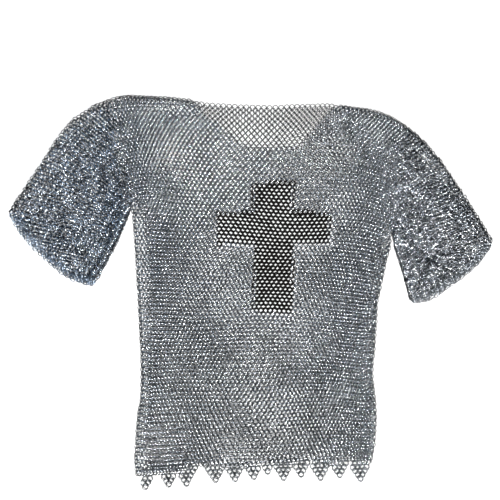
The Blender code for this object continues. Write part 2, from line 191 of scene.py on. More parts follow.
def spaced(line: Array, count: int, widths: Array | None = None) -> Array:
    """Sets out places along a line, even or with relative widths of the steps between them.

    Args:
        line: Points of the line.
        count: How many steps it is cut into.
        widths: The steps' relative widths, at even places along the line.

    Returns:
        The count + 1 places, ends included.
    """
    fine = FINE_PARTS * count
    places = along(line, np.linalg.norm(np.diff(line, axis=0), axis=1), fine)
    if widths is None:
        return places[::FINE_PARTS]
    share = np.interp(np.linspace(0, 1, fine), np.linspace(0, 1, len(widths)), widths)
    return along(places, 1 / share, count)


def swell(places: Array, amount: float, reach: float, power: int = 2) -> Array:
    """Relative widths of steps that are wider around zero, or closer for a negative amount.

    Args:
        places: Where the widths are wanted.
        amount: How much wider the steps are at zero.
        reach: How far from zero they stay so.
        power: How sharply they come back to 1.

    Returns:
        A width for each place.
    """
    return 1 + amount * np.exp(-((places / reach) ** power))


def outward_normals(line: Array, outside: Array) -> Array:
    """Finds the unit normals of a line that point to its outer side.

    Args:
        line: Points of the line.
        outside: A point on the outer side.

    Returns:
        One normal for each point.
    """
    normals = unit(quarter_turn(np.gradient(line, axis=0)))
    middle = len(line) // 2
    return -normals if (outside - line[middle]) @ normals[middle] < 0 else normals


def fill_between(block: Array) -> None:
    """Fills a block of places from its four edges.

    Args:
        block: The places by row and column, with the outermost ones set.
    """
    rows, columns = block.shape[:2]
    v = np.linspace(0, 1, rows)[:, None, None]
    u = np.linspace(0, 1, columns)[None, :, None]
    mixed = (1 - v) * block[:1] + v * block[-1:] + (1 - u) * block[:, :1] + u * block[:, -1:]
    mixed -= (1 - u) * ((1 - v) * block[0, 0] + v * block[-1, 0])
    mixed -= u * ((1 - v) * block[0, -1] + v * block[-1, -1])
    block[1:-1, 1:-1] = mixed[1:-1, 1:-1]


def nearest_on(points: Array, line: Array) -> tuple[Array, Array, Array]:
    """Finds the nearest place on a line for each point.

    Args:
        points: Places to measure.
        line: The line's points.

    Returns:
        How far it is, where it is, and how many of the line's steps lie before it.
    """
    best, foot, passed = np.full(len(points), np.inf), np.zeros_like(points), np.zeros(len(points))
    for number, (a, b) in enumerate(zip(line, line[1:])):
        run = b - a
        share = np.clip((points - a) @ run / max(run @ run, TINY), 0, 1)
        place = a + share[:, None] * run
        distance = np.linalg.norm(points - place, axis=1)
        nearer = distance < best
        best[nearer], foot[nearer] = distance[nearer], place[nearer]
        passed[nearer] = number + share[nearer]
    return best, foot, passed


def depth_inside(points: Array, loop: Array) -> Array:
    """How far points lie inside a closed outline.

    Args:
        points: Places to test.
        loop: The outline's corners.

    Returns:
        The distance to the outline for each point, negative outside.
    """
    closed = np.concatenate([loop, loop[:1]])
    crossings = np.zeros(len(points), int)
    for a, b in zip(closed, closed[1:]):
        run = b - a
        spans = (a[1] > points[:, 1]) != (b[1] > points[:, 1])
        rise = run[1] if abs(run[1]) > TINY else TINY
        crossings += spans & (points[:, 0] < a[0] + (points[:, 1] - a[1]) / rise * run[0])
    best = nearest_on(points, closed)[0]
    return np.where(crossings % 2 == 1, best, -best)


@dataclass
class Fold:
    """A fold where the front turns over into the back."""

    node: str
    seam: Array
    normals: Array
    overrun: float = 0.008

    @classmethod
    def read(cls, node: str, axis: int) -> "Fold":
        """Reads a fold from its CAD node, whose highest edge is the seam that it turns about.

        Args:
            node: The node's name.
            axis: The axis along which the seam's points follow each other.

        Returns:
            The fold.
        """
        places = corners_of(node)
        ridge = places[places[:, 2] > places[:, 2].max() - RIDGE_PLAY, :2]
        ridge = np.unique(np.round(ridge, WELD_DIGITS), axis=0)
        seam = ridge[np.argsort(ridge[:, axis])]
        away = np.linalg.norm(places[:, :2] - seam[len(seam) // 2], axis=1)
        nearest = places[np.argsort(away), :2][: max(LEAST_CORNERS, len(places) // 4)]
        return cls(node, seam, outward_normals(seam, nearest.mean(0)))

    def offset(self, distance: float) -> Array:
        """The seam moved outwards by a distance."""
        return self.seam + distance * self.normals

    def measure(self, points: Array) -> tuple[Array, Array, Array]:
        """Measures points against the seam.

        Args:
            points: Places in plan.

        Returns:
            For each point its distance from the seam, how far it lies outside it, and the normal at
            the nearest place on the seam.
        """
        best, foot, passed = nearest_on(points, self.seam)
        numbers = np.arange(len(self.seam))
        normal = unit(np.stack([np.interp(passed, numbers, self.normals[:, k]) for k in (0, 1)], 1))
        past = ((points - foot) * normal).sum(1)
        overrun = np.linalg.norm(points - foot - past[:, None] * normal, axis=1)
        return best, np.where(overrun < self.overrun, past, -best), normal


@dataclass
class Shape:
    """The shirt's seams and levels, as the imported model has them."""

    folds: dict[tuple[Seam, Side], Fold] = field(default_factory=dict)
    height: dict[Layer, float] = field(default_factory=dict)

    def __post_init__(self) -> None:
        """Reads the folds and the heights of both layers."""
        for seam in Seam:
            words, axis, _ = seam.value
            for side in Side:
                self.folds[seam, side] = Fold.read(f"{side.word}_{words}_fold", axis)
        for layer in Layer:
            low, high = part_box(f"{layer.word}_belly")
            self.height[layer] = (low[2] + high[2]) / 2
        self.middle = (self.height[Layer.FRONT] + self.height[Layer.BACK]) / 2
        self.turn_radius = (self.height[Layer.FRONT] - self.height[Layer.BACK]) / 2
        self.half_turn = math.pi / 2 * self.turn_radius


@dataclass
class Rings:
    """A set of rings: where each lies, which way its row runs and the layer faces, and its node.

    The plan is a ring's place with the folds opened flat, and the centre its place on the shirt.
    """

    plan: Array
    centre: Array
    way: Array
    face: Array
    lean: Array
    owner: Array
    tone: Array | None = None
    play: Array | None = None

    def __post_init__(self) -> None:
        """Gives new rings a middling tone and the usual play."""
        if self.tone is None:
            self.tone, self.play = np.full(len(self.plan), MIDDLE_TONE), np.ones(len(self.plan))

    def rest_on_ground(self, reach: float) -> None:
        """Lifts the rings that would go below the ground, given how far each reaches round it."""
        flatness = self.face[:, 2] * np.cos(np.radians(self.lean))
        self.centre[:, 2] = np.maximum(self.centre[:, 2], reach * np.sqrt(1 - flatness**2))

    def only(self, chosen: Array) -> "Rings":
        """The rings that a mask or an index picks."""
        return Rings(*(getattr(self, name)[chosen] for name in self.__dataclass_fields__))

    @staticmethod
    def joined(groups: list["Rings"]) -> "Rings":
        """All the rings of several sets."""
        names = Rings.__dataclass_fields__
        return Rings(*(np.concatenate([getattr(g, name) for g in groups]) for name in names))


@dataclass
class MailSheet:
    """One layer of the shirt as a net of places for rings.

    Rows run from cuff to cuff, parallel to the shoulders, and columns from the top to the hem. The
    net is pinned to the seams and relaxed like a net of springs, so the rows turn smoothly into
    the drooping sleeves, stretch over the shoulders and crowd under the arms.
    """

    shape: Shape
    layer: Layer
    weave: Weave
    body_rows: int = 103
    sleeve_rows: int = 33
    front_columns: tuple[int, int] = (62, 38)
    back_columns: tuple[int, int] = (63, 37)
    cuff_edge_inset: float = 0.0050
    cuff_steps: int = 24
    cuff_smoothing: int = 6
    hem_inset: float = 0.0060
    neck_edge_reach: float = 0.0028
    neck_shares: tuple[float, float] = (0.12, 0.88)
    neck_middle: float = 0.011
    neck_half_width: float = 0.21
    neck_sharpness: int = 4
    relaxing_passes: int = 40
    middle_widening: float = 0.5
    middle_half_width: float = 0.17
    top_crowding: float = 0.3
    crowded_share: float = 0.2
    wave_height: float = 0.0030
    wave_lengths: tuple[float, ...] = (0.46, 0.29, 0.205)
    slip: tuple[float, float] = (0.0026, -0.0042)
    slip_waves: float = 0.45
    held_boxes: tuple = (((-0.072, 0.115), (0.174, 0.175)), ((0.011, -0.038), (0.086, 0.245)))
    held_fade: float = 0.012
    calm_edge: float = 0.02
    front_push: float = 0.0008
    back_push: float = -0.0016
    seed: int = 11
    edges: list[Array] = field(default_factory=list)

    def __post_init__(self) -> None:
        """Picks the columns of the body and a sleeve, and how far past a seam the last places lie."""
        back, half = self.layer is Layer.BACK, self.shape.half_turn
        self.body_columns, self.sleeve_columns = self.back_columns if back else self.front_columns
        self.side_reach = half if back else half - self.weave.pitch / 2
        self.row_reach = half - self.weave.row_spacing / 2

    def cuff_line(self, side: Side) -> Array:
        """The cuff's outer edge, drawn in by a ring's half width, from the top to under the arm.

        Args:
            side: Which sleeve.

        Returns:
            The line's points.
        """
        loop = plan_loop(f"{side.word}_cuff_{self.layer.word}")
        sleeve = plan_loop(f"{side.word}_sleeve_{self.layer.word}")
        outer = loop[depth_inside(loop, sleeve) < -self.cuff_edge_inset]
        start = self.shape.folds[Seam.TOP, side].seam[0 if side is Side.RIGHT else -1]
        end = self.shape.folds[Seam.UNDER, side].seam[0]
        outer = outer[np.argsort((outer - start) @ unit(end - start))]
        inward = -outward_normals(outer, outer.mean(0) + (outer.mean(0) - sleeve.mean(0)))
        line = spaced(outer + self.cuff_edge_inset * inward, self.cuff_steps)
        for _ in range(self.cuff_smoothing):
            line[1:-1] = (line[:-2] + 2 * line[1:-1] + line[2:]) / 4
        return spaced(line, self.cuff_steps)

    def top_line(self) -> list[Array]:
        """The outermost row, whose rings lie wider apart over the neck.

        Returns:
            The places along the right sleeve, the body and the left sleeve.
        """
        folds, reach = self.shape.folds, self.row_reach
        right, left = (folds[Seam.TOP, side].offset(reach) for side in Side)
        start, end = (folds[Seam.SHOULDER, side].offset(reach) for side in Side)
        neck = np.array([start[-1] * (1 - t) + end[0] * t for t in self.neck_shares])
        dip = np.array([0.0, self.neck_edge_reach - reach])
        body = np.concatenate([right[-1:], start, neck + dip, end, left[:1]])
        across = np.linspace(body[0, 0], body[-1, 0], ACROSS_SAMPLES) - self.neck_middle
        widths = swell(across, self.middle_widening, self.neck_half_width, self.neck_sharpness)
        sleeves = [spaced(line, self.sleeve_columns) for line in (right, left)]
        return [sleeves[0], spaced(body, self.body_columns, widths), sleeves[1]]

    def net(self) -> tuple[Array, Array]:
        """Lays out the net, and relaxes the places whose neighbours all belong to the shirt.

        Returns:
            The places, by row and column, and a mask of those that the shirt has.
        """
        folds, rows, arm = self.shape.folds, self.body_rows, self.sleeve_rows
        a, b = self.sleeve_columns, self.sleeve_columns + self.body_columns
        places = np.zeros((rows + 1, a + b + 1, 2))
        there = np.zeros(places.shape[:2], bool)
        there[:, a : b + 1] = True
        there[: arm + 1] = True
        places[0, : a + 1], places[0, a : b + 1], places[0, b:] = self.top_line()
        crowded = swell(np.linspace(0, 1, DOWN_SAMPLES), -self.top_crowding, self.crowded_share)
        cuffs = []
        sleeves = (places[: arm + 1, a::-1], places[: arm + 1, b:])
        for side, column, block in zip(Side, (a, b), sleeves):
            flanks = [folds[seam, side].offset(self.side_reach) for seam in (Seam.SIDE, Seam.SKIRT)]
            down = np.concatenate([flank[::-1] for flank in flanks])
            down[-1, 1] += self.hem_inset
            under = folds[Seam.UNDER, side].offset(self.row_reach)[::-1]
            corner = (down[0] + under[0]) / 2
            down[0] = corner
            places[arm:, column] = spaced(down, rows - arm)
            places[: arm + 1, column] = spaced(np.stack([places[0, column], corner]), arm, crowded)
            cuff = self.cuff_line(side)
            below = np.concatenate([[corner], under[1:-1], cuff[-1:]])
            below = spaced(below, self.sleeve_columns)
            edge = spaced(np.concatenate([cuff[:-1], below[-1:]]), arm, crowded)
            block[:, -1], block[-1] = edge, below
            fill_between(block)
            cuffs.append(edge)
        hem = np.stack([places[rows, a], places[rows, b]])
        across = np.linspace(-0.5, 0.5, ACROSS_SAMPLES) * (hem[1, 0] - hem[0, 0])
        widths = swell(across, self.middle_widening, self.middle_half_width)
        places[rows, a : b + 1] = spaced(hem, self.body_columns, widths)
        fill_between(places[:, a : b + 1])
        self.edges = [hem, *cuffs]
        wide, ways = np.pad(there, 1), (-1, 0, 1)
        around = [np.roll(wide, (row, column), (0, 1)) for row in ways for column in ways]
        free = np.all(around, 0)[2:-2, 2:-2]
        for _ in range(self.relaxing_passes):
            mean = (places[:-2, 1:-1] + places[2:, 1:-1] + places[1:-1, :-2] + places[1:-1, 2:]) / 4
            places[1:-1, 1:-1][free] = mean[free]
        return places, there

    def drift(self, plan: Array) -> Array:
        """How far the weave has drifted: slow waves, and a slip of the back under the front.

        The back keeps its place under the cross and has slipped along it everywhere else, so the
        holes of the two layers line up on the cross and make slanting lines around it.

        Args:
            plan: Places in plan.

        Returns:
            A shift for each place.
        """
        shift = self.waves(plan, self.seed)
        if self.layer is Layer.FRONT:
            return shift
        low, high = np.array(self.held_boxes).transpose(1, 0, 2)
        beside = np.maximum(low - plan[:, None], plan[:, None] - high).clip(0)
        away = np.linalg.norm(beside, axis=2).min(1) / self.held_fade
        slipped = 1 - np.exp(-(away**2))
        own = self.slip_waves * self.waves(plan, self.seed + 1)
        return shift + slipped[:, None] * (np.array(self.slip) + own)

    def waves(self, plan: Array, seed: int) -> Array:
        """A sum of slow waves across the layer.

        Args:
            plan: Places in plan.
            seed: What picks their directions.

        Returns:
            A shift for each place.
        """
        random = np.random.default_rng(seed)
        shift = np.zeros_like(plan)
        for length in self.wave_lengths:
            for axis in (0, 1):
                turn, phase = random.uniform(0, 2 * math.pi, 2)
                way = np.array([math.cos(turn), math.sin(turn)])
                height = self.wave_height * length / self.wave_lengths[0]
                shift[:, axis] += height * np.sin(2 * math.pi * (plan @ way) / length + phase)
        return shift

    def rings(self) -> Rings:
        """Sets out the layer's rings, hem points left out.

        Returns:
            The rings, with the folds turned and nothing cut away yet.
        """
        places, there = self.net()
        flip = 0 if self.layer is Layer.FRONT else 1
        first, last = self.sleeve_columns, self.sleeve_columns + self.body_columns
        plans, steps, parities, parts = [], [], [], []
        for row, line in enumerate(places):
            columns = np.flatnonzero(there[row])
            odd = (row + flip) % 2
            here = columns[: len(columns) - odd]
            after = here + odd
            step = np.diff(line[columns], axis=0)
            plans.append((line[here] + line[after]) / 2)
            steps.append(step if odd else np.concatenate([step[:1], step]))
            parities.append(np.full(len(here), 1 - 2 * odd))
            parts.append((after > last).astype(int) - (here < first))
        return self.turned(*(np.concatenate(lists) for lists in (plans, steps, parities, parts)))

    def turned(self, plan: Array, step: Array, parity: Array, part: Array) -> Rings:
        """Lifts flat places onto the layer and round its folds.

        Args:
            plan: Places in plan, as if the folds were opened flat.
            step: The step from each place to the next one of its row.
            parity: 1 or -1 by turns, from row to row.
            part: -1 on the right sleeve, 1 on the left one and 0 on the body.

        Returns:
            The rings.
        """
        shape, up, count = self.shape, float(self.layer.value), len(plan)
        width, way = np.linalg.norm(step, axis=1), unit(step)
        best, outside = np.full(count, np.inf), np.full(count, -1.0)
        normal = np.tile([1.0, 0.0], (count, 1))
        owner = np.full(count, "", dtype=object)
        for (seam, _), fold in shape.folds.items():
            distance, past, direction = fold.measure(plan)
            nearer = np.isin(part, seam.value[2]) & (distance < best)
            best[nearer], outside[nearer] = distance[nearer], past[nearer]
            normal[nearer] = direction[nearer]
            owner[nearer & (past > 0)] = fold.node
            owner[nearer & (past <= 0)] = ""
        nearest = np.min([best, *(nearest_on(plan, edge)[0] for edge in self.edges)], 0)
        calm = np.clip(nearest / self.calm_edge, 0, 1)[:, None]
        inner = (outside <= 0)[:, None]
        plan = np.where(inner, plan + self.drift(plan) * calm, plan)
        angle = np.where(inner, 0.0, outside[:, None] / shape.turn_radius)
        sine, cosine = np.sin(angle), np.cos(angle)
        top = np.array([node.endswith(("top_fold", "shoulder_fold")) for node in owner])
        push = top[:, None] * (self.front_push if self.layer is Layer.FRONT else self.back_push)
        slid = plan - outside[:, None] * normal
        flat = np.where(inner, plan, slid + (shape.turn_radius * sine + push) * normal)
        across = quarter_turn(normal)
        rise = np.array([[0.0, 0.0, up]])
        normal3, across3 = (np.pad(direction, ((0, 0), (0, 1))) for direction in (normal, across))
        way_out = (way * normal).sum(1)[:, None]
        way_along = (way * across).sum(1)[:, None]
        run = way_along * across3 + way_out * (normal3 * cosine - rise * sine)
        face = normal3 * sine + rise * cosine
        height = cosine * up * shape.turn_radius + shape.middle
        centre = np.concatenate([flat, height], 1)
        crowding = (self.weave.pitch - width) / self.weave.pitch
        lean = self.weave.lean + self.weave.lean_per_crowding * crowding
        return Rings(plan, centre, run, face, lean * parity, owner)


@dataclass
class Tailor:
    """Cuts the woven layers to the shirt's outline and shares the rings out among its nodes."""

    shape: Shape
    weave: Weave
    neck_margin: float = 0.012
    neck_inset: float = 0.0040
    gap_allowance: float = 0.0006
    fold_width: float = 0.009
    hem_rows: int = 7
    hem_row_spacing: float = 0.0084
    hem_first: float = 0.0025
    hem_last: float = 0.0068
    hem_side: float = -0.0012
    hem_reach: float = 0.0010
    hem_lean: float = 15.0
    hem_layer_shift: tuple[float, float] = (0.0006, 0.0005)

    def cut(self, rings: Rings, layer: Layer) -> Rings:
        """Gives each ring its node and leaves out those that lie in the neck opening.

        Args:
            rings: The whole layer.
            layer: Which layer it is.

        Returns:
            The rings that the shirt has.
        """
        names = [n for n in frame["nodes"] if layer.word in n.split("_")]
        names = [n for n in names if "hem" not in n and "neck" not in n]
        if layer is Layer.FRONT:
            names.append("cross_inlay")
        names = np.array(sorted(names), dtype=object)
        loops = list(map(plan_loop, names))
        depths = np.stack([depth_inside(rings.plan, loop) for loop in loops])
        flat = rings.owner == ""
        rings.owner[flat] = names[depths.argmax(0)[flat]]
        depth = depths.max(0)
        kept = (rings.owner != f"{layer.word}_skirt") | (depth >= -self.hem_reach)
        rings, depth, flat = rings.only(kept), depth[kept], flat[kept]
        low, high = (np.array(corner[:2]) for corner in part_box("back_neck_panel"))
        margin = self.neck_margin
        near = ((rings.plan > low - margin) & (rings.plan < high + margin)).all(1)
        if layer is Layer.BACK:
            rings.owner[near & flat & (depth < -self.gap_allowance)] = "back_neck_panel"
            return rings
        for fold in (self.shape.folds[Seam.SHOULDER, side] for side in Side):
            loops.append(np.concatenate([fold.seam, fold.offset(self.fold_width)[::-1]]))
        kept = np.ones(len(near), bool)
        for turn in np.arange(0, 2 * math.pi, math.pi / 4):
            reach = self.neck_inset * np.array([math.cos(turn), math.sin(turn)])
            probes = rings.plan[near] + reach
            depth = np.max([depth_inside(probes, loop) for loop in loops], 0)
            kept[near] &= depth > -self.gap_allowance
        return rings.only(kept)

    @staticmethod
    def clear_of(places: Array, start: Array, end: Array) -> Array:
        """How far places lie to the right of a line, seen along it."""
        return (start - places) @ quarter_turn(unit(end - start))

    def hem_points(self, layer: Layer) -> Rings:
        """Sets out the rings of the pointed hem, row by row upwards from each tip.

        Args:
            layer: Which layer.

        Returns:
            The rings of its hem points.
        """
        nodes = sorted(n for n in frame["nodes"] if n.startswith(f"{layer.word}_hem_point"))
        corners = []
        for loop in map(plan_loop, nodes):
            left, right = (loop[np.argmax(loop[:, 1] + s * loop[:, 0])] for s in (-1, 1))
            tip = loop[loop[:, 1] < loop[:, 1].min() + self.gap_allowance].mean(0)
            corners.append((left, right, tip))
        across = unit(corners[-1][1] - corners[0][0])
        rise = quarter_turn(across)
        plans, signs, owners = [], [], []
        for node, (left, right, tip) in zip(nodes, corners):
            for row in range(self.hem_rows):
                height = self.hem_last + row * self.hem_row_spacing
                steps = (np.arange(row + 1) - row / 2) * self.weave.pitch
                places = tip + height * rise + steps[:, None] * across
                inside = np.min([self.clear_of(places, a, b) for a, b in ((tip, left), (right, tip))], 0)
                under = self.clear_of(places, left, right)
                kept = (row == 0) | (inside > self.hem_side) & (under > self.hem_first)
                plans.append(places[kept])
                signs += [1.0 - 2 * (row % 2)] * int(kept.sum())
                owners += [node] * int(kept.sum())
        plan = np.concatenate(plans)
        if layer is Layer.BACK:
            plan += self.hem_layer_shift
        centre = np.insert(plan, 2, self.shape.height[layer], axis=1)
        run = np.tile([*across, 0.0], (len(plan), 1))
        face = np.tile([0.0, 0.0, float(layer.value)], (len(plan), 1))
        lean = self.hem_lean * np.array(signs)
        return Rings(plan, centre, run, face, lean, np.array(owners, dtype=object))


class NodeTree:
    """A node tree that is built by name, with its sockets linked as it grows."""

    def __init__(self, tree: bpy.types.NodeTree) -> None:
        """Keeps the tree."""
        self.tree = tree

    @classmethod
    def of_material(cls, name: str) -> tuple[bpy.types.Material, "NodeTree"]:
        """Makes a material with no nodes yet.

        Args:
            name: Its name.

        Returns:
            The material and its tree.
        """
        material = bpy.data.materials.new(name)
        material.use_nodes = True
        material.node_tree.nodes.clear()
        return material, cls(material.node_tree)

    def socket(self, name: str, kind: str, value: object = None, way: str = "INPUT") -> None:
        """Adds a named input or output.

        Args:
            name: The socket's name.
            kind: Its type, such as Float.
            value: Its default, for an input that has one.
            way: INPUT or OUTPUT.
        """
        made = self.tree.interface.new_socket(name=name, in_out=way, socket_type=f"NodeSocket{kind}")
        if value is not None:
            made.default_value = value

    def node(
        self, kind: str, settings: dict | None = None, *firsts: object, **named: object
    ) -> bpy.types.Node:
        """Adds a node.

        Args:
            kind: The node's type.
            settings: Properties to set on it.
            firsts: Values, sockets or nodes for its first inputs, in their order.
            named: Values, sockets or nodes for inputs by name, with _ for a space.

        Returns:
            The node.
        """
        made = self.tree.nodes.new(kind)
        for name, value in (settings or {}).items():
            setattr(made, name, value)
        for place, value in enumerate(firsts):
            self.feed(made.inputs[place], value)
        for name, value in named.items():
            self.feed(made.inputs[name.replace("_", " ")], value)
        return made

    def mix(self, share: object, dark: object, light: object) -> bpy.types.NodeSocket:
        """Mixes two colours.

        Args:
            share: The share of the light one, as a value, a socket or a node.
            dark: One colour.
            light: The other colour.

        Returns:
            The socket that puts out the mixed colour.
        """
        made = self.node("ShaderNodeMix", {"data_type": "RGBA"}, Factor=share)
        for place, colour in zip(MIX_COLOUR_INPUTS, (dark, light)):
            self.feed(made.inputs[place], colour)
        return made.outputs[MIX_COLOUR_OUTPUT]

    def feed(self, socket: bpy.types.NodeSocket, value: object) -> None:
        """Links a socket or a node's first output into an input, or sets the input's value.

        Args:
            socket: The input.
            value: The value, socket or node.
        """
        if isinstance(value, bpy.types.Node):
            value = value.outputs[0]
        if isinstance(value, bpy.types.NodeSocket):
            self.tree.links.new(value, socket)
        else:
            socket.default_value = value


@dataclass
class RingMaker:
    """Turns places for rings into wire rings with a Geometry Nodes tree."""

    weave: Weave
    seed: int = 5
    map_margin: float = 0.06
    most_rings: int = 1600

    def __post_init__(self) -> None:
        """Builds the tree that bends a ring, sets one on each point and joins them."""
        self.group = bpy.data.node_groups.new("mail_rings", "GeometryNodeTree")
        tree = NodeTree(self.group)
        tree.socket("Geometry", "Geometry")
        tree.socket("Ring Radius", "Float", self.weave.ring_radius)
        tree.socket("Wire Radius", "Float", self.weave.wire_radius)
        tree.socket("Ring Segments", "Int", self.weave.ring_segments)
        tree.socket("Wire Sides", "Int", self.weave.wire_sides)
        tree.socket("Loose Turn", "Float", math.radians(self.weave.loose_turn))
        tree.socket("Seed", "Int", self.seed)
        tree.socket("Finish", "Material")
        tree.socket("Geometry", "Geometry", way="OUTPUT")
        given = tree.node("NodeGroupInput").outputs
        ring, wire = (
            tree.node("GeometryNodeCurvePrimitiveCircle", Resolution=given[sides], Radius=given[radius])
            for sides, radius in (("Ring Segments", "Ring Radius"), ("Wire Sides", "Wire Radius"))
        )
        swept = tree.node("GeometryNodeCurveToMesh", Curve=ring, Profile_Curve=wire)
        smooth = tree.node("GeometryNodeSetShadeSmooth", Geometry=swept)
        lie, play = (
            tree.node("GeometryNodeInputNamedAttribute", {"data_type": kind}, Name=name)
            for name, kind in (("ring_turn", "FLOAT_VECTOR"), ("ring_play", "FLOAT"))
        )
        turn = tree.node("FunctionNodeEulerToRotation", Euler=lie)
        either_way = {"Min": (-1.0, -1.0, -1.0), "Seed": given["Seed"]}
        chance = tree.node("FunctionNodeRandomValue", {"data_type": "FLOAT_VECTOR"}, **either_way)
        most = tree.node("ShaderNodeMath", {"operation": "MULTIPLY"}, given["Loose Turn"], play)
        swing = tree.node("ShaderNodeVectorMath", {"operation": "SCALE"}, chance, Scale=most)
        own = tree.node("FunctionNodeEulerToRotation", Euler=swing)
        local = {"rotation_space": "LOCAL"}
        turned = tree.node("FunctionNodeRotateRotation", local, Rotation=turn, Rotate_By=own)
        woven = tree.node(
            "GeometryNodeInstanceOnPoints", Points=given["Geometry"], Instance=smooth, Rotation=turned
        )
        joined = tree.node("GeometryNodeRealizeInstances", Geometry=woven)
        dressed = tree.node("GeometryNodeSetMaterial", Geometry=joined, Material=given["Finish"])
        tree.node("NodeGroupOutput", Geometry=dressed)

    @staticmethod
    def turns(rings: Rings) -> Array:
        """How each ring is turned, as angles about X, Y and Z.

        Args:
            rings: The rings.

        Returns:
            Three angles for each ring, in radians.
        """
        lean = np.radians(rings.lean)
        sine, cosine, zero, one = np.sin(lean), np.cos(lean), np.zeros(len(lean)), np.ones(len(lean))
        about_y = np.array([[cosine, zero, sine], [zero, one, zero], [-sine, zero, cosine]])
        axes = np.stack([rings.way, np.cross(rings.face, rings.way), rings.face], 2)
        m = axes @ about_y.transpose(2, 0, 1)
        about_x = np.arctan2(m[:, 2, 1], m[:, 2, 2])
        about_z = np.arctan2(m[:, 1, 0], m[:, 0, 0])
        return np.stack([about_x, -np.arcsin(np.clip(m[:, 2, 0], -1, 1)), about_z], 1)

    def make(self, name: str, rings: Rings, finish: "Finish") -> bpy.types.Object:
        """Makes one piece of mail.

        Args:
            name: The piece's name.
            rings: Its rings.
            finish: What its wire looks like.

        Returns:
            The piece, a plain mesh at the origin.
        """
        points = bpy.data.meshes.new(f"{name}_places")
        points.from_pydata(rings.centre.tolist(), [], [])
        for label, kind, slot, values in (
            ("ring_turn", "FLOAT_VECTOR", "vector", self.turns(rings)),
            ("ring_tone", "FLOAT", "value", rings.tone),
            ("ring_play", "FLOAT", "value", rings.play),
        ):
            made = points.attributes.new(label, kind, "POINT")
            made.data.foreach_set(slot, values.astype(np.float32).ravel())
        piece = bpy.data.objects.new(name, points)
        bpy.context.scene.collection.objects.link(piece)
        weaving = piece.modifiers.new("mail_rings", "NODES")
        weaving.node_group = self.group
        sockets = {s.name: s.identifier for s in self.group.interface.items_tree if s.in_out == "INPUT"}
        weaving[sockets["Finish"]] = finish.material()
        weaving[sockets["Wire Radius"]] = finish.thickening * self.weave.wire_radius
        graph = bpy.context.evaluated_depsgraph_get()
        mesh = bpy.data.meshes.new_from_object(
            piece.evaluated_get(graph), preserve_all_data_layers=True, depsgraph=graph
        )
        mesh.name = name
        piece.modifiers.remove(weaving)
        piece.data = mesh
        bpy.data.meshes.remove(points)
        for helper in ("ring_turn", "ring_play"):
            mesh.attributes.remove(mesh.attributes[helper])
        self.map_rings(mesh, len(rings.centre))
        return piece

    def map_rings(self, mesh: bpy.types.Mesh, count: int) -> None:
        """Gives each ring a square of its own on the piece's UV map.

        Args:
            mesh: The piece's mesh, ring after ring.
            count: How many rings it has.
        """
        sides, segments = self.weave.wire_sides, self.weave.ring_segments
        vertex = np.empty(len(mesh.loops), np.int32)
        mesh.loops.foreach_get("vertex_index", vertex)
        ring, local = np.divmod(vertex, sides * segments)
        around, across = np.divmod(local, sides)
        places = []
        for turn, whole in ((around, segments), (across, sides)):
            turn = turn.reshape(-1, 4)
            wraps = (turn.max(1) - turn.min(1) > 1)[:, None] & (turn == 0)
            places.append((np.where(wraps, whole, turn) / whole).ravel())
        squares = math.ceil(math.sqrt(count))
        corner = np.stack(np.divmod(ring, squares), 1)
        inside = self.map_margin + (1 - 2 * self.map_margin) * np.stack(places, 1)
        layer = mesh.uv_layers.new(name="OFBake")
        layer.uv.foreach_set("vector", ((corner + inside) / squares).astype(np.float32).ravel())


@dataclass(frozen=True)
class Finish:
    """How one kind of wire looks.

    Several finishes are darker or bluer copies of the same ring steel, which paint shade or cool
    light into its colour.
    """

    name: str
    slot: str
    dark: Colour
    light: Colour
    smoothest: float
    roughest: float
    metallic: float = 0.95
    specular: float = 0.5
    thickening: float = 1.0
    scratch_depth: float = 0.00008
    scratch_strength: float = 0.6

    @cache
    def material(self) -> bpy.types.Material:
        """Builds the material, or gives the one built before.

        Returns:
            The material.
        """
        material, tree = NodeTree.of_material(self.name)
        colours = {"Dark": (*self.dark, 1.0), "Light": (*self.light, 1.0)}
        tones = tree.node("ShaderNodeGroup", {"node_tree": wire_tones()}, **colours)
        surface = tree.node("ShaderNodeGroup", {"node_tree": wire_surface()}).outputs
        span = {"To_Min": self.smoothest, "To_Max": self.roughest}
        gloss = tree.node("ShaderNodeMapRange", Value=surface["Wear"], **span)
        scratch = {"Strength": self.scratch_strength, "Distance": self.scratch_depth}
        bump = tree.node("ShaderNodeBump", Height=surface["Height"], **scratch)
        plain = {"Metallic": self.metallic, "Specular_IOR_Level": self.specular}
        shader = tree.node(
            "ShaderNodeBsdfPrincipled", Base_Color=tones, Roughness=gloss, Normal=bump, **plain
        )
        tree.node("ShaderNodeOutputMaterial", Surface=shader)
        return material


@cache
def wire_tones() -> bpy.types.ShaderNodeTree:
    """Builds the group that colours the wire: each ring its own tone, with a fine patchy grain.
    The tone is random, and lowered on the sleeves as painted shade.

    Returns:
        The group, with a Color output.
    """
    tree = NodeTree(bpy.data.node_groups.new("wire_tones", "ShaderNodeTree"))
    tree.socket("Dark", "Color", (0.1, 0.1, 0.1, 1.0))
    tree.socket("Light", "Color", (0.5, 0.5, 0.5, 1.0))
    tree.socket("Grain Scale", "Float", 420.0)
    tree.socket("Grain Share", "Float", 0.35)
    tree.socket("Color", "Color", way="OUTPUT")
    given = tree.node("NodeGroupInput").outputs
    own = tree.node("ShaderNodeAttribute", {"attribute_name": "ring_tone"}).outputs["Fac"]
    place = tree.node("ShaderNodeTexCoord").outputs["Object"]
    grain = tree.node("ShaderNodeTexNoise", Vector=place, Scale=given["Grain Scale"], Detail=3.0)
    centred = tree.node("ShaderNodeMath", {"operation": "SUBTRACT"}, grain, MIDDLE_TONE)
    clamped = {"operation": "MULTIPLY_ADD", "use_clamp": True}
    total = tree.node("ShaderNodeMath", clamped, centred, given["Grain Share"], own)
    tree.node("NodeGroupOutput", Color=tree.mix(total, given["Dark"], given["Light"]))
    return tree.tree


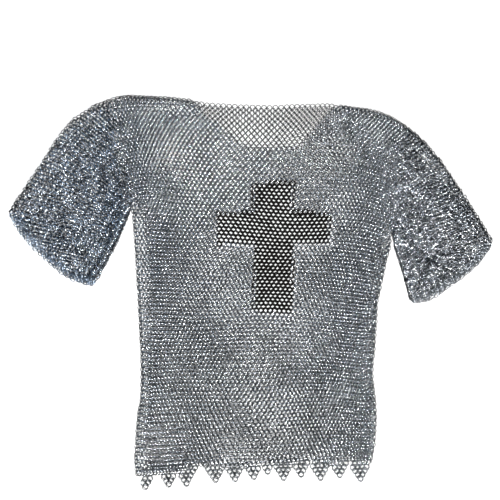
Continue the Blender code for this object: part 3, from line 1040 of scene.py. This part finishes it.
@cache
def wire_surface() -> bpy.types.ShaderNodeTree:
    """Builds the group for the wire's surface: rubbed and dull spots and fine scratches.

    Returns:
        The group, with Wear and Height outputs from 0 to 1.
    """
    tree = NodeTree(bpy.data.node_groups.new("wire_surface", "ShaderNodeTree"))
    tree.socket("Spot Scale", "Float", 260.0)
    tree.socket("Scratch Scale", "Float", 1900.0)
    tree.socket("Wear", "Float", way="OUTPUT")
    tree.socket("Height", "Float", way="OUTPUT")
    given = tree.node("NodeGroupInput").outputs
    place = tree.node("ShaderNodeTexCoord").outputs["Object"]
    spots = tree.node("ShaderNodeTexNoise", Vector=place, Scale=given["Spot Scale"], Detail=4.0)
    scratches = tree.node(
        "ShaderNodeTexNoise", Vector=place, Scale=given["Scratch Scale"], Detail=2.0, Distortion=1.5
    )
    tree.node("NodeGroupOutput", Wear=spots, Height=scratches)
    return tree.tree


STEEL = Finish("bright_ring_steel", "ring_steel", (0.06, 0.07, 0.085), (0.66, 0.70, 0.75), 0.14, 0.28)
# Painted cool light: the right sleeve's front rings get a bluer copy of the ring steel, standing in for bluish
# light falling on that side.
SLEEVE_RINGS_PAINTED_COOL_LIGHT = Finish(
    "cool_ring_steel", "ring_steel", (0.055, 0.07, 0.092), (0.62, 0.70, 0.80), 0.14, 0.28
)
# Painted shade: the rings of the sleeves' top folds get a much darker copy of the ring steel, for the shade where
# they turn away over the fold.
FOLD_RINGS_PAINTED_SHADE = Finish(
    "dark_fold_steel", "ring_steel", (0.015, 0.018, 0.022), (0.13, 0.145, 0.165), 0.2, 0.4
)
# Painted shade: the back layer gets a darker copy of the ring steel, for the shade that the front layer casts on
# it; it is also rougher.
INNER_RINGS_PAINTED_SHADE = Finish(
    "dull_inner_steel", "ring_steel", (0.02, 0.023, 0.028), (0.10, 0.108, 0.118), 0.35, 0.55
)
# Painted shade: the back rings seen through the neck opening get a still darker copy of the ring steel; it is also
# rougher, with thinner wire.
NECK_RINGS_PAINTED_SHADE = Finish(
    "dull_neck_steel", "ring_steel", (0.01, 0.0115, 0.014), (0.05, 0.054, 0.06), 0.35, 0.55, thickening=0.9
)
# Painted shade: the hem points get a darker copy of the ring steel, with slightly thicker wire.
HEM_RINGS_PAINTED_SHADE = Finish(
    "dark_hem_steel", "edge_rings", (0.03, 0.035, 0.04), (0.26, 0.28, 0.30), 0.2, 0.4, thickening=1.05
)
# Painted cool light and shade: the right cuff gets a darker, bluer copy of the ring steel, for the shaded edge and
# the bluish light on that side; it is also rougher.
RIGHT_CUFF_PAINTED_COOL_LIGHT_AND_SHADE = Finish(
    "cool_edge_steel", "edge_rings", (0.08, 0.11, 0.15), (0.42, 0.50, 0.62), 0.2, 0.4, 0.9
)
# Painted shade: the left cuff's rings get a darker copy of the ring steel, for the shaded edge; it is also
# rougher.
CUFF_RINGS_PAINTED_SHADE = Finish(
    "dull_edge_steel", "edge_rings", (0.11, 0.125, 0.145), (0.38, 0.41, 0.45), 0.25, 0.45, 0.9
)
BLACKENED = Finish(
    "blackened_steel", "blackened_rings", (0.001, 0.001, 0.001), (0.005, 0.0045, 0.004), 0.55, 0.75,
    metallic=0.0, specular=0.04, thickening=1.75,
)
# The front layer gets the plain ring steel, the back layer the darker copy with painted shade.
LAYER_STEEL = {Layer.FRONT: STEEL, Layer.BACK: INNER_RINGS_PAINTED_SHADE}


def finish_of(node: str, layer: Layer) -> Finish:
    """Picks the finish for a layer's rings of a node.

    The back layer, the neck, the top folds, the hem points and the cuffs get darker copies of the
    ring steel that paint shade, and the right sleeve and cuff bluer ones that paint cool light.

    Args:
        node: The node's name.
        layer: Which layer.

    Returns:
        The finish.
    """
    # Apart from the cross's blackened rings, these are copies of the one ring steel with painted shade or painted
    # cool light.
    special = (
        (node == "cross_inlay", BLACKENED),
        (node == "back_neck_panel", NECK_RINGS_PAINTED_SHADE),
        ("hem_point" in node, HEM_RINGS_PAINTED_SHADE),
        (node.endswith("top_fold"), FOLD_RINGS_PAINTED_SHADE),
        (node.startswith("right_cuff"), RIGHT_CUFF_PAINTED_COOL_LIGHT_AND_SHADE),
        ("cuff" in node, CUFF_RINGS_PAINTED_SHADE),
        (node.startswith("right_sleeve") and layer is Layer.FRONT, SLEEVE_RINGS_PAINTED_COOL_LIGHT),
    )
    return next((finish for fits, finish in special if fits), LAYER_STEEL[layer])


@dataclass(frozen=True)
class Hinge:
    """A line about which a part of the shirt folds, and the strip of mail that bends there."""

    name: str
    child: str
    place: Array
    outward: Array
    upward: Array
    half_width: float
    lowest: float

    @classmethod
    def read(cls, joint: dict, half_width: float, lowest: float) -> "Hinge":
        """Reads a hinge from the record.

        Args:
            joint: The joint's entry.
            half_width: Half the width of the strip that bends.
            lowest: How far below the joint's place the strip may reach.

        Returns:
            The hinge.
        """
        axis = np.array(joint["axis"][:2], float)
        place = np.array(joint["pos_m"][:2], float)
        nodes = frame["record"]["behaviour"]["bodies"][joint["child"]]
        boxes = np.array([[corner[:2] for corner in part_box(node)] for node in nodes])
        away = boxes.reshape(-1, 2).mean(0) - place
        outward = quarter_turn(axis)
        outward = outward if outward @ away > 0 else -outward
        upward = axis if axis[1] > 0 else -axis
        return cls(joint["name"], joint["child"], place, outward, upward, half_width, lowest)

    def bends(self, plan: Array) -> Array:
        """Marks the places that lie in the strip."""
        offset = plan - self.place
        return (np.abs(offset @ self.outward) < self.half_width) & (offset @ self.upward > self.lowest)

    def ends(self) -> tuple[tuple, tuple]:
        """Where the bending starts, on the torso, and where it ends, on the part that folds."""
        reach = self.outward * self.half_width
        return tuple((*(self.place + s * reach), 0.0) for s in (-1, 1))


@dataclass
class Shirt:
    """The whole haubergeon, piece by piece."""

    weave: Weave = Weave()
    tone_spread: float = 0.14
    # Painted shade: how much lower the sleeves' rings are toned, so their steel looks darker and bluer.
    sleeve_shade: float = 0.1
    sleeve_spread: float = 2.4
    sleeve_play: float = 2.4
    strip_half_width: float = 0.022
    armpit_reach: float = -0.004
    seed: int = 3

    def build(self) -> None:
        """Weaves both layers, cuts them and makes every piece."""
        shape = Shape()
        tailor = Tailor(shape, self.weave)
        maker = RingMaker(self.weave)
        joints = {j["name"]: j for j in frame["joints"]}
        lowest = {
            "right_sleeve_fold": self.armpit_reach,
            "left_sleeve_fold": self.armpit_reach,
            "skirt_fold": -math.inf,
        }
        hinges = [Hinge.read(joints[n], self.strip_half_width, low) for n, low in lowest.items()]
        random = np.random.default_rng(self.seed)
        total = 0
        for layer in Layer:
            sheet = MailSheet(shape, layer, self.weave)
            rings = Rings.joined([tailor.cut(sheet.rings(), layer), tailor.hem_points(layer)])
            sleeves = np.array(["sleeve" in o or "cuff" in o for o in rings.owner])
            spread = self.tone_spread * np.where(sleeves, self.sleeve_spread, 1.0)
            # Each ring gets a random tone; the sleeves' rings are also toned lower, as painted shade.
            rings.tone += random.normal(0, 1, len(rings.tone)) * spread - self.sleeve_shade * sleeves
            rings.play[sleeves] = self.sleeve_play
            loose = random.normal(0, self.weave.loose_place, rings.centre.shape)
            rings.centre += loose * rings.play[:, None]
            rings.rest_on_ground(self.weave.ring_radius + self.weave.wire_radius)
            self.make_layer(layer, rings, hinges, maker)
            total += len(rings.owner)
        LOG.info("%d rings in all", total)

    @staticmethod
    def make_layer(layer: Layer, rings: Rings, hinges: list[Hinge], maker: RingMaker) -> None:
        """Makes the pieces of one layer.

        Args:
            layer: Which layer.
            rings: All its rings.
            hinges: The lines about which the shirt folds.
            maker: What makes the pieces.
        """
        free = np.ones(len(rings.owner), bool)
        for hinge in hinges:
            strip = hinge.bends(rings.plan) & free
            free &= ~strip
            name = f"{hinge.name}_{layer.word}_rings"
            piece = maker.make(name, rings.only(strip), LAYER_STEEL[layer])
            start, end = hinge.ends()
            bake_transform(piece)
            LOG.info("%s: %d rings", name, strip.sum())
        body_of = {n: b for b, ns in frame["record"]["behaviour"]["bodies"].items() for n in ns}
        for node in sorted(set(rings.owner)):
            finish = finish_of(node, layer)
            chosen = np.flatnonzero(free & (rings.owner == node))
            halves = {"": chosen}
            if len(chosen) > maker.most_rings:
                order = chosen[np.argsort(rings.plan[chosen, 0], kind="stable")]
                halves = dict(zip(("_right", "_left"), np.array_split(order, 2)))
            which = f"_{layer.word}" if "fold" in node else ""
            for half, part in halves.items():
                name = f"{node}{half}{which}_rings"
                piece = maker.make(name, rings.only(np.sort(part)), finish)
                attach(piece, body_of[node])
                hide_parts(node)
                LOG.info("%s: %d rings", name, len(part))


@dataclass(frozen=True)
class Lamp:
    """A round soft light that points at the origin, where the shirt lies."""

    name: str
    colour: Colour
    azimuth: float
    elevation: float
    size: float
    distance: float
    power: float

    def hang(self) -> None:
        """Hangs the light in its place."""
        turn, rise = math.radians(self.azimuth), math.radians(self.elevation)
        flat = math.cos(rise)
        way = Vector((flat * math.cos(turn), flat * math.sin(turn), math.sin(rise)))
        light = bpy.data.lights.new(self.name, "AREA")
        light.shape, light.size, light.energy, light.color = "DISK", self.size, self.power, self.colour
        lamp = bpy.data.objects.new(self.name, light)
        lamp.location = self.distance * way
        lamp.rotation_euler = (-way).to_track_quat("-Z", "Y").to_euler()
        bpy.context.scene.collection.objects.link(lamp)


@dataclass
class Studio:
    """The white ground, the light and the camera straight above."""

    ground_size: float = 60.0
    ground_height: float = -0.0018
    ground_tones: tuple[float, float] = (0.16, 0.20)
    ground_patches: float = 2.0
    ground_roughness: float = 0.9
    ground_glow: float = 1.0
    picture_width: float = 1.125
    picture_centre: tuple[float, float] = (-0.00225, 0.0956)
    camera_height: float = 3.2
    sky_colour: Colour = (0.9, 0.95, 1.0)
    sky_strength: float = 0.012
    lamps: tuple[Lamp, ...] = (
        Lamp("key_light", (1.0, 0.98, 0.95), -88.0, 50.0, 1.0, 5.5, 780.0),
        Lamp("cool_fill_light", (0.45, 0.72, 1.0), 145.0, 50.0, 0.5, 0.92, 0.99),
        Lamp("right_fill_light", (1.0, 1.0, 1.0), 30.0, 50.0, 0.5, 0.95, 1.8),
    )

    def build(self) -> None:
        """Sets up the ground, the light and the camera."""
        self.build_ground()
        self.build_light()
        self.build_camera()

    def build_ground(self) -> None:
        """Lays the white ground just under the shirt."""
        half = self.ground_size / 2
        mesh = bpy.data.meshes.new("ground")
        corners = [(-half, -half), (half, -half), (half, half), (-half, half)]
        mesh.from_pydata([(*corner, self.ground_height) for corner in corners], [], [(0, 1, 2, 3)])
        ground = bpy.data.objects.new("ground", mesh)
        bpy.context.scene.collection.objects.link(ground)
        material, tree = NodeTree.of_material("white_ground")
        place = tree.node("ShaderNodeTexCoord").outputs["Object"]
        cloud = tree.node("ShaderNodeTexNoise", Vector=place, Scale=self.ground_patches)
        dark, light = ((tone, tone, tone, 1.0) for tone in self.ground_tones)
        seen = tree.node("ShaderNodeLightPath").outputs["Is Camera Ray"]
        glow = tree.node("ShaderNodeMath", {"operation": "MULTIPLY"}, seen, self.ground_glow)
        shader = tree.node(
            "ShaderNodeBsdfPrincipled",
            Base_Color=tree.mix(cloud, dark, light),
            Roughness=self.ground_roughness,
            Emission_Color=(1.0, 1.0, 1.0, 1.0),
            Emission_Strength=glow,
        )
        tree.node("ShaderNodeOutputMaterial", Surface=shader)
        mesh.materials.append(material)

    def build_light(self) -> None:
        """Hangs a key light below the hem and a small fill over each sleeve, under a dim sky."""
        world = bpy.data.worlds.new("studio")
        bpy.context.scene.world = world
        world.use_nodes = True
        sky = world.node_tree.nodes["Background"]
        sky.inputs["Color"].default_value = (*self.sky_colour, 1.0)
        sky.inputs["Strength"].default_value = self.sky_strength
        for lamp in self.lamps:
            lamp.hang()

    def build_camera(self) -> None:
        """Hangs the camera over the middle of the photograph's frame, looking straight down."""
        data = bpy.data.cameras.new("camera")
        camera = bpy.data.objects.new("camera", data)
        bpy.context.scene.collection.objects.link(camera)
        camera.location = (*self.picture_centre, self.camera_height)
        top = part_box("front_belly")[1][2]
        data.lens = data.sensor_width * (self.camera_height - top) / self.picture_width
        data.dof.use_dof = False
        bpy.context.scene.camera = camera
        bpy.context.scene.view_settings.view_transform = "Standard"


def main() -> None:
    """Builds the haubergeon and its studio."""
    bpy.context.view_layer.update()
    Studio().build()
    Shirt().build()


if __name__ == "__main__":
    logging.basicConfig(level=logging.INFO, format="%(name)s: %(message)s")
    main()
